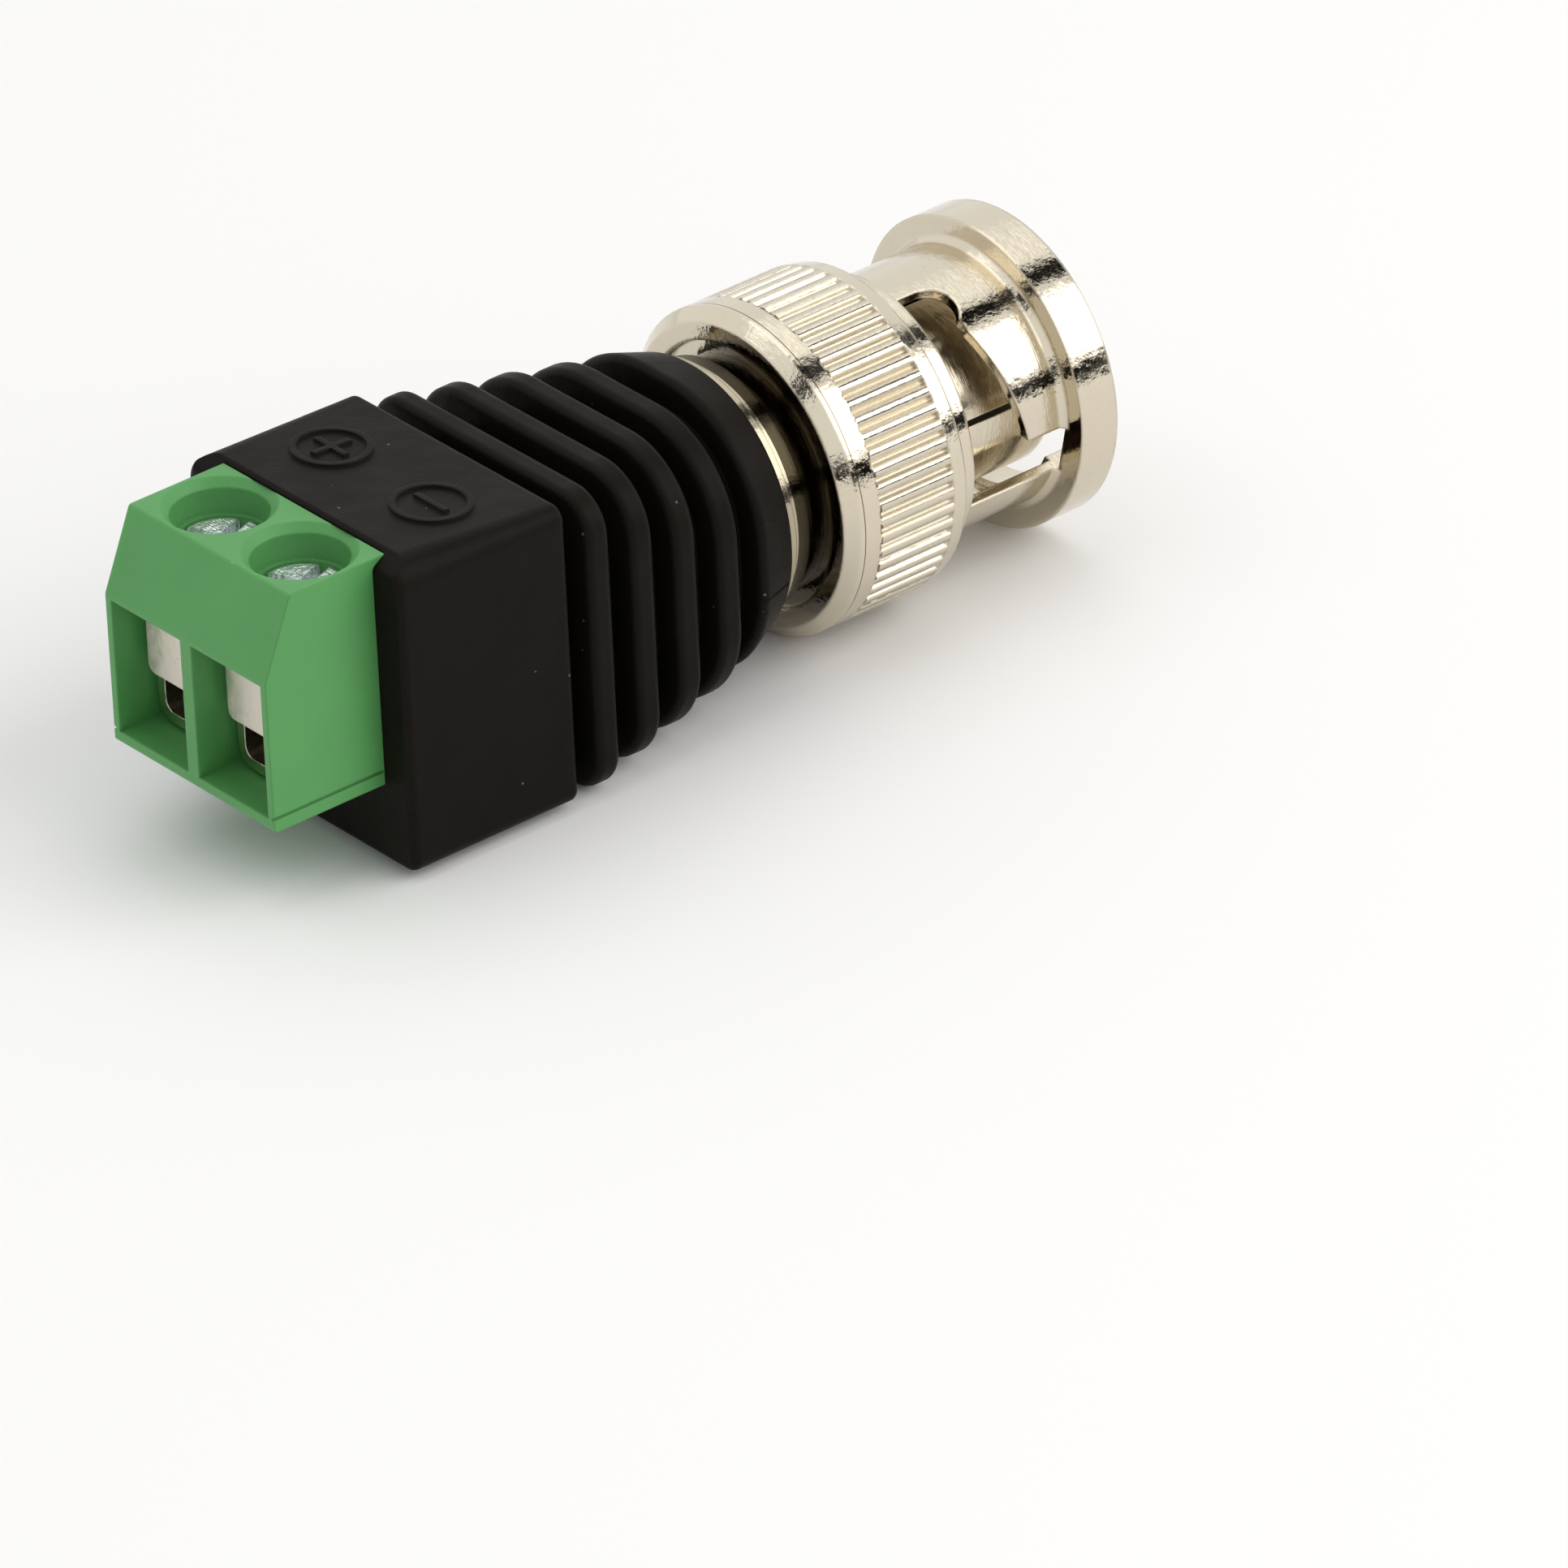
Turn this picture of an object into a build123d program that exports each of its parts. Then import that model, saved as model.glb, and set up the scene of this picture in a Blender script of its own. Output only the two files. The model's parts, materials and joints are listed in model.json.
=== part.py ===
from build123d import *
import math
import os

# Bayonet coaxial plug with a two-pole rising-cage terminal block, moulded into one ribbed boot.
# +X runs along the plug's axis to its mouth, +Z up out of the screw wells, +Y to the plus pole.
# The origin is on the axis, at the front face of the dielectric. Millimetres.

# Terminal block
pole_pitch = 5.08
block_depth = 8.0
block_top = 7.02
block_bottom = -3.14
block_seat = 2.44
nose_top = 3.55
nose_slant = 1.455
end_wall = 0.43
divider_wall = 0.5
floor_wall = 0.54
back_wall = 0.6
rebate_depth = 0.55
chamber_top = 4.4
well_radius = 2.01
well_setback = 3.98
well_rim = 0.35
block_edge = 0.18
side_groove_height = 0.14
side_groove_depth = 0.12

# Clamping screws
head_radius = 1.85
head_height = 1.05
head_recess = 1.5
head_dome = 0.3
head_slot = 0.55
head_slot_depth = 0.55
head_slot_turn = 20.0
head_gap = 0.05
thread_radius = 1.28
screw_tip_gap = 0.03

# Rising cages
cage_width = 3.8
cage_length = 4.4
cage_wall = 0.5
cage_head = 1.0
cage_corner = 0.95
cage_floor_gap = 0.16
cage_height = 5.0
cage_thread_gap = 0.04
cage_travel = 1.7

# Contact strips
strip_width = 2.5
strip_thickness = 0.45
strip_top = 0.35
lip_width = 3.4
lip_thickness = 0.4
lip_rise = 2.7
lip_gap = 0.12
pin_width = 1.0
pin_reach = 1.95
pin_gap = 0.35

# Moulded boot
boot_width = 13.42
boot_bottom = -6.7
boot_length = 8.42
boot_top_rear = 7.22
boot_top_front = 6.72
boot_shoulder_rear = 1.3
boot_shoulder_front = 0.65
boot_base_corner = 0.6
boot_brow_length = 0.95
boot_brow_height = 0.6
boot_end_round = 0.35
boot_front_round = 0.3
boot_lip_setback = 0.78
first_gap = 0.94
rib_count = 4
rib_width = 1.15
rib_gap = 1.09
rib_half_width = 6.85
rib_half_height = 6.72
rib_centre = -0.26
rib_half_drop = 0.08
rib_corner = 1.8
rib_corner_growth = 0.95
rib_round = 0.34
core_depth = 1.4
core_overlap = 0.6
collar_length = 2.05
collar_half = 6.58
collar_corner = 5.6
collar_centre = -0.16
collar_front_radius = 6.05
collar_round = 0.3
corner_limit = 0.02

# Raised polarity marks on the boot
mark_setback = 4.55
mark_spacing = 6.3
mark_radius = 1.71
mark_stroke = 0.3
mark_bar = 1.9
mark_height = 0.12
mark_sink = 0.4

# Plug body
mouth_lead = 0.95
contact_lead = 0.9
barrel_radius = 4.2
neck_radius = 5.1
neck_length = 1.22
hub_radius = 5.45
hub_length = 0.92
rim_radius = 5.75
rim_length = 0.4
shank_radius = 4.4
shank_length = 2.8
shank_groove = 0.5
shank_groove_length = 0.9
lug_boss_radius = 3.0
lug_boss_length = 1.0
rear_bore_radius = 2.0

# Coupling nut
nut_radius = 7.1
nut_flange_radius = 6.78
nut_flange_length = 1.87
sleeve_radius = 5.65
sleeve_length = 5.2
step_radius = 6.15
step_length = 1.13
front_band = 0.74
knurl_length = 3.83
rear_band = 1.56
knurl_count = 60
knurl_depth = 0.22
knurl_crest_share = 0.55
shoulder_drop = 0.12
shoulder_bevel = 0.1
nut_bore = 4.87
nut_cavity = 5.15
mouth_radius = 5.62
mouth_bevel = 0.45
nut_recess_radius = 5.79
nut_recess = 0.4
nut_web = 0.8
nut_running_gap = 0.05
nut_rear_bevel = 0.52
flange_root = 0.25

# Bayonet windows, angles counted about +X from +Y
entry_angle = 14.0
entry_width = 2.2
ramp_lead = 1.87
ramp_rise = 1.2
ramp_span = 54.0
detent_angle = 81.0
detent_radius = 1.15
detent_setback = 3.86
ramp_steps = 6
cut_margin = 0.5

# Spring pack behind the gasket
spring_height = 1.1
spring_strip = 0.22
spring_waves = 3
spring_steps = 8
spring_width = 0.55
spring_slit = 8.0
washer_thickness = 0.28
ring_thickness = 0.5
ring_groove = 0.35
ring_gap_width = 2.0
pack_gap = 0.05
spring_bay_gap = 0.45

# Gasket, outer contact, dielectric and centre pin
gasket_length = 1.2
gasket_overhang = 0.52
gasket_fit = 0.03
contact_radius = 4.03
gasket_seat_radius = 3.6
contact_bore = 2.65
contact_spigot_cover = 0.8
contact_spigot_length = 3.0
contact_slit = 0.28
contact_slit_depth = 5.4
contact_slit_angle = -8.0
contact_nose = 0.5
dielectric_shoulder = 13.6
dielectric_tail = 3.8
socket_clearance_radius = 1.25
socket_clearance_depth = 4.6
centre_pin_radius = 0.675
centre_pin_lead = 0.9
centre_pin_body = 1.0
centre_pin_nose = 0.54
solder_cup_reach = 1.6
solder_cup_depth = 1.3

# Solder lug and leads inside the boot
lug_radius = 4.3
lug_thickness = 0.4
lug_tab_width = 1.8
lug_tab_reach = 0.6
lug_tab_root = 0.5
wire_radius = 0.42
jacket_radius = 0.78
jacket_setback = 1.1
lead_rise = 1.9
lead_bend = 1.2
jacket_bend = 0.85
lead_level = 0.9

# Inner mould round the leads
mould_half_width = 4.9
mould_top = 1.2
mould_cover = 0.25
mould_margin = 0.35
mould_nose_drop = 1.3

# Stations along the axis
x_contact_front = contact_lead
x_mouth = x_contact_front + mouth_lead
x_flange = x_mouth - nut_flange_length
x_step = x_flange - sleeve_length
x_shoulder = x_step - step_length
x_knurl_front = x_shoulder - front_band
x_knurl_rear = x_knurl_front - knurl_length
x_nut_rear = x_knurl_rear - rear_band
x_web_rear = x_nut_rear + nut_recess
x_web_front = x_web_rear + nut_web
x_washer_rear = x_web_front + spring_height
x_ring_rear = x_washer_rear + washer_thickness
x_ring_front = x_ring_rear + ring_thickness
x_barrel_front = x_ring_front
x_gasket_front = x_barrel_front + gasket_length
x_hub_front = x_web_rear - neck_length
x_hub_rear = x_hub_front - hub_length
x_collar_front = x_hub_rear - rim_length
x_shank_rear = x_collar_front - shank_length
x_body_rear = x_shank_rear - lug_boss_length
x_collar_rear = x_collar_front - collar_length
rib_pitch = rib_width + rib_gap
x_boot_front = x_collar_rear - rib_count * rib_pitch - first_gap
x_boot_rear = x_boot_front - boot_length
x_block_rear = x_boot_rear + block_seat
x_block_front = x_block_rear - block_depth
x_screw = x_block_front + well_setback

# Levels and sizes that follow from the above
spring_radius = barrel_radius + spring_width
spring_bay_radius = spring_radius + spring_bay_gap
gasket_radius = barrel_radius + gasket_overhang
contact_spigot_radius = barrel_radius - contact_spigot_cover
pole_offset = pole_pitch / 2
block_width = 2 * pole_pitch
chamber_width = (block_width - 2 * end_wall - divider_wall) / 2
chamber_floor = block_bottom + floor_wall
cage_bottom = chamber_floor + cage_floor_gap
head_top = block_top - head_recess
head_bottom = head_top - head_height
x_cage_front = x_screw - cage_length / 2
x_cage_rear = x_screw + cage_length / 2
x_lip_rear = x_cage_front - lip_gap
x_lip_front = x_lip_rear - lip_thickness
x_pin_front = x_cage_rear + pin_gap
x_pin_rear = x_pin_front + strip_thickness
pin_bottom = block_bottom - pin_reach
strip_bottom = strip_top - strip_thickness
x_dielectric_shoulder = -dielectric_shoulder
x_dielectric_rear = x_dielectric_shoulder - dielectric_tail
x_cup_rear = x_body_rear - solder_cup_reach
x_lug_rear = x_shank_rear - lug_thickness
poles = {"plus": pole_offset, "minus": -pole_offset}


def turned(*profile):
    """Solid of revolution about the plug's axis from (x, radius) corners."""
    return revolve(make_face(Polyline(*profile, close=True)), Axis.X)


def block(x0, x1, y0, y1, z0, z1):
    """Rectangular solid between two corners."""
    size = (x1 - x0, y1 - y0, z1 - z0)
    middle = ((x0 + x1) / 2, (y0 + y1) / 2, (z0 + z1) / 2)
    return Pos(*middle) * Box(*size)


def side_profile(width, *corners):
    """Solid of the given (x, z) outline, centred across the object."""
    outline = Plane.XZ * make_face(Polyline(*corners, close=True))
    return extrude(outline, amount=width / 2, both=True)


def upright(radius, z0, z1, y=0.0, x=x_screw):
    """Vertical cylinder from level z0 to level z1."""
    return Pos(x, y, (z0 + z1) / 2) * Cylinder(radius, z1 - z0)


def pipe(radius, *points, bend):
    """Round wire along straight runs joined by arcs."""
    path = FilletPolyline(*points, radius=bend)
    section = Plane(origin=path @ 0, z_dir=path % 0) * Circle(radius)
    return sweep(section, path=path)


def block_outline(*front_corners):
    """Terminal block's plain body: the given front corners, then its rebated rear."""
    x_rebate = x_boot_rear + boot_lip_setback
    return side_profile(
        block_width,
        *front_corners,
        (x_rebate, block_top),
        (x_rebate, block_top - rebate_depth),
        (x_block_rear, block_top - rebate_depth),
        (x_block_rear, block_bottom),
    )


def terminal_block():
    """Green moulding: two screw wells, two wire entries and a slanted nose."""
    body = block_outline(
        (x_block_front, block_bottom),
        (x_block_front, nose_top),
        (x_block_front + nose_slant, block_top),
    )
    cross_edges = body.edges().filter_by(Axis.Y).group_by(Axis.X)
    body = fillet(cross_edges[0] + cross_edges[1], block_edge)
    x_chamber_rear = x_block_rear - back_wall
    half = chamber_width / 2
    for y in poles.values():
        body -= block(x_block_front - 1, x_lip_front, y - half, y + half, chamber_floor, nose_top - block_edge)
        body -= block(x_lip_front, x_chamber_rear, y - half, y + half, chamber_floor, chamber_top)
        body -= upright(well_radius, head_top, block_top + 1, y)
        body -= upright(head_radius + head_gap, chamber_top, head_top, y)
        body -= Pos(x_screw, y, block_top - well_rim / 2) * Cone(well_radius, well_radius + well_rim, well_rim)
        body -= solder_slot(y)
    wall = block_width / 2
    for inner, outer in ((wall - side_groove_depth, wall + 1), (-wall - 1, side_groove_depth - wall)):
        groove_top = chamber_floor + side_groove_height
        body -= block(x_block_front - 1, x_boot_rear, inner, outer, chamber_floor, groove_top)
    return body


def solder_slot(y):
    """Slot in the floor of the block for a contact strip's solder pin."""
    half = pin_width / 2
    return block(x_pin_front, x_pin_rear, y - half, y + half, block_bottom - 1, chamber_floor + 1)


def clamp_screw(y):
    """Cheese-head screw with a crossed slot, standing on the contact strip."""
    screw = upright(head_radius, head_bottom, head_top, y)
    screw = fillet(screw.edges().group_by(Axis.Z)[-1], head_dome)
    long_slot = Box(3 * head_radius, head_slot, 2 * head_slot_depth)
    cross_slot = Box(head_slot, 3 * head_radius, 2 * head_slot_depth)
    screw -= Pos(x_screw, y, head_top) * Rot(0, 0, head_slot_turn) * (long_slot + cross_slot)
    return screw + upright(thread_radius, strip_top + screw_tip_gap, head_bottom, y)


def clamp_cage(y):
    """Bent box clamp with a tapped head, open towards the wire entry."""
    middle = cage_bottom + cage_height / 2
    outline = RectangleRounded(cage_width, cage_height, cage_corner)
    window_height = cage_height - cage_wall - cage_head
    window = RectangleRounded(cage_width - 2 * cage_wall, window_height, cage_corner - cage_wall)
    loop = outline - Pos(0, (cage_wall - cage_head) / 2) * window
    cage = extrude(Plane.YZ.offset(x_cage_front) * Pos(y, middle) * loop, amount=cage_length)
    return cage - upright(thread_radius + cage_thread_gap, middle, cage_bottom + cage_height + 1, y)


def contact_strip(y):
    """Fixed strip through the cage, with a lip over the entry and a solder pin."""
    half = strip_width / 2
    strip = block(x_lip_front, x_pin_rear, y - half, y + half, strip_bottom, strip_top)
    lip = block(x_lip_front, x_lip_rear, y - lip_width / 2, y + lip_width / 2, strip_bottom, strip_bottom + lip_rise)
    lip = fillet(lip.edges().filter_by(Axis.X).group_by(Axis.Z)[0], lip_thickness)
    strip += lip
    strip += block(x_pin_front, x_pin_rear, y - pin_width / 2, y + pin_width / 2, pin_bottom, strip_top)
    return strip


def across(solid):
    """Edges of a solid that run across the plug's axis."""
    return solid.edges().filter_by(lambda e: abs(e.tangent_at(0.5).X) < 0.1)


def rib_section(half_width, half_height, corner, centre, x):
    """Rounded section of the boot at station x, centred at a level near the axis."""
    return Plane.YZ.offset(x) * Pos(0, centre) * RectangleRounded(2 * half_width, 2 * half_height, corner)


def boot_top(setback):
    """Level of the boot's sloping top at a distance from its rear end."""
    return boot_top_rear + (boot_top_front - boot_top_rear) * setback / boot_length


def block_section(x, top, shoulder):
    """Section of the boot's square end, with rounded shoulders and base corners."""
    middle = (top + boot_bottom) / 2
    face = Pos(0, middle) * Rectangle(boot_width, top - boot_bottom)
    corners = face.vertices().sort_by(Axis.Y)
    face = fillet(corners[2:], shoulder)
    face = fillet(face.vertices().sort_by(Axis.Y)[:2], boot_base_corner)
    return Plane.YZ.offset(x) * face


def boot_block():
    """Square end of the boot that holds the terminal block."""
    rear = block_section(x_boot_rear, boot_top_rear, boot_shoulder_rear)
    front = block_section(x_boot_front, boot_top_front, boot_shoulder_front)
    body = loft([rear, front], ruled=True)
    above = boot_top_rear + 1
    slope = boot_brow_height / boot_brow_length
    body -= side_profile(
        2 * boot_width,
        (x_boot_rear - 1, above),
        (x_boot_rear - 1, boot_top_rear - boot_brow_height - slope),
        (x_boot_rear + boot_brow_length + 1, boot_top(0) + slope),
        (x_boot_rear + boot_brow_length + 1, above),
    )
    body = fillet(body.edges().group_by(Axis.X)[0], boot_end_round)
    return fillet(body.edges().group_by(Axis.X)[-1], boot_front_round)


def boot_shell():
    """Outside of the boot: square end, ribs that turn round, and collar."""
    body = boot_block()
    core_half = rib_half_height - core_depth
    core_rear = rib_section(core_half, core_half, rib_corner, rib_centre, x_boot_front - core_overlap)
    core_half = collar_half - core_depth
    core_corner = collar_corner - core_depth
    core_front = rib_section(core_half, core_half, core_corner, collar_centre, x_collar_rear + core_overlap)
    body += loft([core_rear, core_front], ruled=True)
    for i in range(rib_count):
        x = x_boot_front + first_gap + i * rib_pitch
        half_width = rib_half_width - i * rib_half_drop
        half_height = rib_half_height - i * rib_half_drop
        corner = rib_corner + i * rib_corner_growth
        rib = extrude(rib_section(half_width, half_height, corner, rib_centre, x), amount=rib_width)
        body += fillet(across(rib), rib_round)
    rear = rib_section(collar_half, collar_half, collar_corner, collar_centre, x_collar_rear)
    radius = collar_front_radius
    front = rib_section(radius, radius, radius - corner_limit, 0, x_collar_front)
    collar = loft([rear, front], ruled=True)
    return body + fillet(across(collar), collar_round)


def plug_body():
    """Turned body: shank in the boot, hub, and the barrel that the nut turns on."""
    body = turned(
        (x_barrel_front, 0),
        (x_barrel_front, barrel_radius),
        (x_web_rear, barrel_radius),
        (x_web_rear, neck_radius),
        (x_hub_front, neck_radius),
        (x_hub_front, hub_radius),
        (x_hub_rear, hub_radius),
        (x_hub_rear, rim_radius),
        (x_collar_front, rim_radius),
        (x_collar_front, shank_radius),
        (x_shank_rear, shank_radius),
        (x_shank_rear, lug_boss_radius),
        (x_body_rear, lug_boss_radius),
        (x_body_rear, 0),
    )
    x_groove = x_shank_rear + shank_length / 2
    half = shank_groove_length / 2
    body -= ring(x_groove - half, x_groove + half, shank_radius - shank_groove, shank_radius + 1)
    body -= ring(x_ring_rear, x_ring_front, barrel_radius - ring_groove, barrel_radius + 1)
    body -= Pos(x_barrel_front, 0, 0) * Rot(0, 90, 0) * Cylinder(contact_spigot_radius, 2 * contact_spigot_length)
    body -= ring(x_dielectric_shoulder, x_barrel_front, 0, contact_bore)
    return body - ring(x_body_rear - 1, x_dielectric_shoulder, 0, rear_bore_radius)


def ring(x0, x1, inner, outer):
    """Plain ring, or disc when inner is 0, between two stations on the axis."""
    return turned((x0, inner), (x1, inner), (x1, outer), (x0, outer))


def knurled_band():
    """Band of straight ridges, cut to full depth along its length."""
    step = 2 * math.pi / knurl_count
    crest = step * knurl_crest_share / 2
    corners = []
    for i in range(knurl_count):
        for angle, radius in ((-step / 2, nut_radius - knurl_depth), (-crest, nut_radius), (crest, nut_radius)):
            a = i * step + angle
            corners.append((radius * math.cos(a), radius * math.sin(a)))
    face = make_face(Polyline(*corners, close=True))
    return extrude(Plane.YZ.offset(x_knurl_rear) * face, amount=knurl_length)


def wedge(angle, x0, x1, r0, r1):
    """Rectangle in the plane through the axis at the given angle."""
    a = math.radians(angle)
    corners = [(x0, r0), (x1, r0), (x1, r1), (x0, r1)]
    return Polyline(*[(x, r * math.cos(a), r * math.sin(a)) for x, r in corners], close=True)


def bayonet_cut(turn):
    """One window of the nut: entry slot, ramp and round detent."""
    inner = nut_cavity - cut_margin
    outer = sleeve_radius + cut_margin
    half_entry = math.degrees(math.asin(entry_width / 2 / sleeve_radius))
    start = entry_angle + turn + half_entry
    entry = entry_angle + turn - half_entry
    x_ramp = x_flange - ramp_lead
    sections = [wedge(start, x_step, x_ramp, inner, outer), wedge(entry, x_step, x_ramp, inner, outer)]
    for i in range(1, ramp_steps + 1):
        angle = entry - ramp_span * i / ramp_steps
        sections.append(wedge(angle, x_step, x_ramp - ramp_rise * i / ramp_steps, inner, outer))
    x_detent = x_flange - detent_setback
    last = entry_angle + turn - detent_angle
    x_end = x_ramp - ramp_rise
    sections.append(wedge(last, x_step, x_end, inner, outer))
    cut = loft([make_face(s) for s in sections], ruled=True)
    spin = Rot(last, 0, 0)
    depth = outer - inner
    middle = (inner + outer) / 2
    cut += spin * Pos(x_detent, middle, 0) * Rot(90, 0, 0) * Cylinder(detent_radius, depth)
    cut += spin * block(x_step, x_detent, inner, outer, -detent_radius, detent_radius)
    slot = block(x_step, x_flange, inner, outer, -entry_width / 2, entry_width / 2)
    slot += block(x_step, x_mouth + 1, inner, mouth_radius, -entry_width / 2, entry_width / 2)
    return cut + Rot(entry_angle + turn, 0, 0) * slot


def coupling_nut():
    """Bayonet nut: knurled grip, sleeve with two windows, flanged mouth."""
    nut = turned(
        (x_nut_rear, nut_recess_radius),
        (x_nut_rear, nut_radius - nut_rear_bevel),
        (x_nut_rear + nut_rear_bevel, nut_radius),
        (x_knurl_rear, nut_radius),
        (x_knurl_rear, nut_radius - knurl_depth),
        (x_knurl_front, nut_radius - knurl_depth),
        (x_knurl_front, nut_radius),
        (x_shoulder, nut_radius - shoulder_drop),
        (x_shoulder + shoulder_bevel, step_radius),
        (x_step, step_radius),
        (x_step, sleeve_radius),
        (x_flange - flange_root, sleeve_radius),
        (x_flange, sleeve_radius + flange_root),
        (x_flange, nut_flange_radius),
        (x_mouth, nut_flange_radius),
        (x_mouth, mouth_radius),
        (x_mouth - mouth_bevel, nut_bore),
        (x_flange, nut_bore),
        (x_flange, nut_cavity),
        (x_gasket_front, nut_cavity),
        (x_gasket_front, spring_bay_radius),
        (x_web_front, spring_bay_radius),
        (x_web_front, barrel_radius + nut_running_gap),
        (x_web_rear, barrel_radius + nut_running_gap),
        (x_web_rear, nut_recess_radius),
    )
    nut += knurled_band() - ring(x_knurl_rear, x_knurl_front, 0, (nut_cavity + nut_radius) / 2)
    for turn in (0, 180):
        nut -= bayonet_cut(turn)
    return nut


def wave_spring():
    """Split ring of flat strip, waved between the nut's web and the washer."""
    middle = (x_web_front + x_washer_rear) / 2
    swing = (spring_height - spring_strip) / 2
    steps = spring_steps * spring_waves
    sections = []
    for i in range(steps + 1):
        angle = spring_slit / 2 + (360 - spring_slit) * i / steps
        x = middle + swing * math.cos(math.radians(angle * spring_waves))
        low = x - spring_strip / 2
        sections.append(make_face(wedge(angle, low, low + spring_strip, barrel_radius + pack_gap, spring_radius)))
    return loft(sections, ruled=True)


def thrust_washer():
    """Flat washer between the wave spring and the retaining ring."""
    return ring(x_washer_rear, x_ring_rear, barrel_radius + pack_gap, spring_radius)


def retaining_ring():
    """Split ring sprung into the barrel's groove."""
    body = ring(x_ring_rear, x_ring_front, barrel_radius - ring_groove, spring_radius)
    return body - block(x_ring_rear, x_ring_front, -ring_gap_width / 2, ring_gap_width / 2, 0, 2 * spring_radius)


def gasket():
    """Silicone ring that the jack's rim presses on."""
    return ring(x_barrel_front, x_gasket_front, gasket_seat_radius + gasket_fit, gasket_radius)


def outer_contact():
    """Slotted spring tube, pressed into the front of the body."""
    tube = turned(
        (x_barrel_front - contact_spigot_length, contact_bore),
        (x_barrel_front - contact_spigot_length, contact_spigot_radius),
        (x_barrel_front, contact_spigot_radius),
        (x_barrel_front, gasket_seat_radius),
        (x_gasket_front, gasket_seat_radius),
        (x_gasket_front, contact_radius),
        (x_contact_front, contact_radius),
        (x_contact_front, contact_bore),
    )
    tube = fillet(tube.edges().group_by(Axis.X)[-1].sort_by(SortBy.RADIUS)[-1], contact_nose)
    x_slit = x_contact_front - contact_slit_depth
    reach = 2 * contact_radius
    slit = block(x_slit, x_contact_front + 1, -reach, reach, -contact_slit / 2, contact_slit / 2)
    for turn in (0, 90):
        tube -= Rot(contact_slit_angle + turn, 0, 0) * slit
    return tube


def dielectric():
    """Insulator between the centre pin and the outer contact."""
    body = turned(
        (x_dielectric_rear, 0),
        (x_dielectric_rear, rear_bore_radius),
        (x_dielectric_shoulder, rear_bore_radius),
        (x_dielectric_shoulder, contact_bore),
        (0, contact_bore),
        (0, 0),
    )
    body -= ring(-socket_clearance_depth, 1, 0, socket_clearance_radius)
    return body - ring(x_dielectric_rear - 1, -socket_clearance_depth, 0, centre_pin_body)


def centre_pin():
    """Turned pin with a round tip, a captive body and a solder cup."""
    pin = turned(
        (x_cup_rear, 0),
        (x_cup_rear, centre_pin_body),
        (-socket_clearance_depth, centre_pin_body),
        (-socket_clearance_depth, centre_pin_radius),
        (centre_pin_lead, centre_pin_radius),
        (centre_pin_lead, 0),
    )
    pin = fillet(pin.edges().group_by(Axis.X)[-1], centre_pin_nose)
    return pin - ring(x_cup_rear - 1, x_cup_rear + solder_cup_depth, 0, wire_radius)


def solder_lug():
    """Earth lug on the body's rear boss, with a tab for the minus lead."""
    lug = ring(x_lug_rear, x_shank_rear, lug_boss_radius, lug_radius)
    half = lug_tab_width / 2
    return lug + block(x_lug_rear, x_shank_rear, -lug_radius - lug_tab_reach, lug_tab_root - lug_radius, -half, half)


def lead_path(pole, start_cut, end_cut):
    """Corners of a lead from its solder pin to the plug, shortened at each end."""
    y = poles[pole]
    level = pin_bottom + lead_level
    if pole == "plus":
        x_end, side = x_cup_rear, 0
    else:
        x_end, side = x_lug_rear, -(lug_boss_radius + lug_radius + lug_tab_reach) / 2
    start = (x_pin_rear + start_cut, y, level)
    rise = (x_pin_rear + lead_rise, y, level)
    return [start, rise, (x_end - lead_rise, side, 0), (x_end - end_cut, side, 0)]


def lead_wire(pole):
    """Bare conductor of a lead, let into the centre pin's cup on the plus side."""
    reach = {"plus": solder_cup_depth, "minus": 0}[pole]
    return pipe(wire_radius, *lead_path(pole, 0, -reach), bend=lead_bend)


def lead_jacket(pole):
    """Insulation of a lead, stripped at both ends."""
    return pipe(jacket_radius, *lead_path(pole, jacket_setback, jacket_setback), bend=jacket_bend)


def inner_mould():
    """First moulding, round the leads and their joints, which the boot is moulded over."""
    bottom = pin_bottom - mould_cover
    x_rear = x_pin_front - mould_margin
    return side_profile(
        2 * mould_half_width,
        (x_rear, bottom),
        (x_rear, block_bottom),
        (x_block_rear, block_bottom),
        (x_block_rear, mould_top),
        (x_lug_rear, mould_top),
        (x_lug_rear, -mould_nose_drop),
        (x_pin_rear + lead_rise, bottom),
    )


def polarity_marks():
    """Raised rings with a plus and a minus on the top of the boot."""
    slope = math.degrees(math.atan2(boot_top_rear - boot_top_front, boot_length))
    depth = mark_height + mark_sink
    marks = []
    for sign in (1, -1):
        mark = Circle(mark_radius) - Circle(mark_radius - mark_stroke)
        mark += Rectangle(mark_stroke, mark_bar)
        if sign > 0:
            mark += Rectangle(mark_bar, mark_stroke)
        place = Pos(x_boot_rear + mark_setback, sign * mark_spacing / 2, boot_top(mark_setback)) * Rot(0, slope, 0)
        marks.append(place * Pos(0, 0, -mark_sink) * extrude(mark, amount=depth))
    return marks


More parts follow.
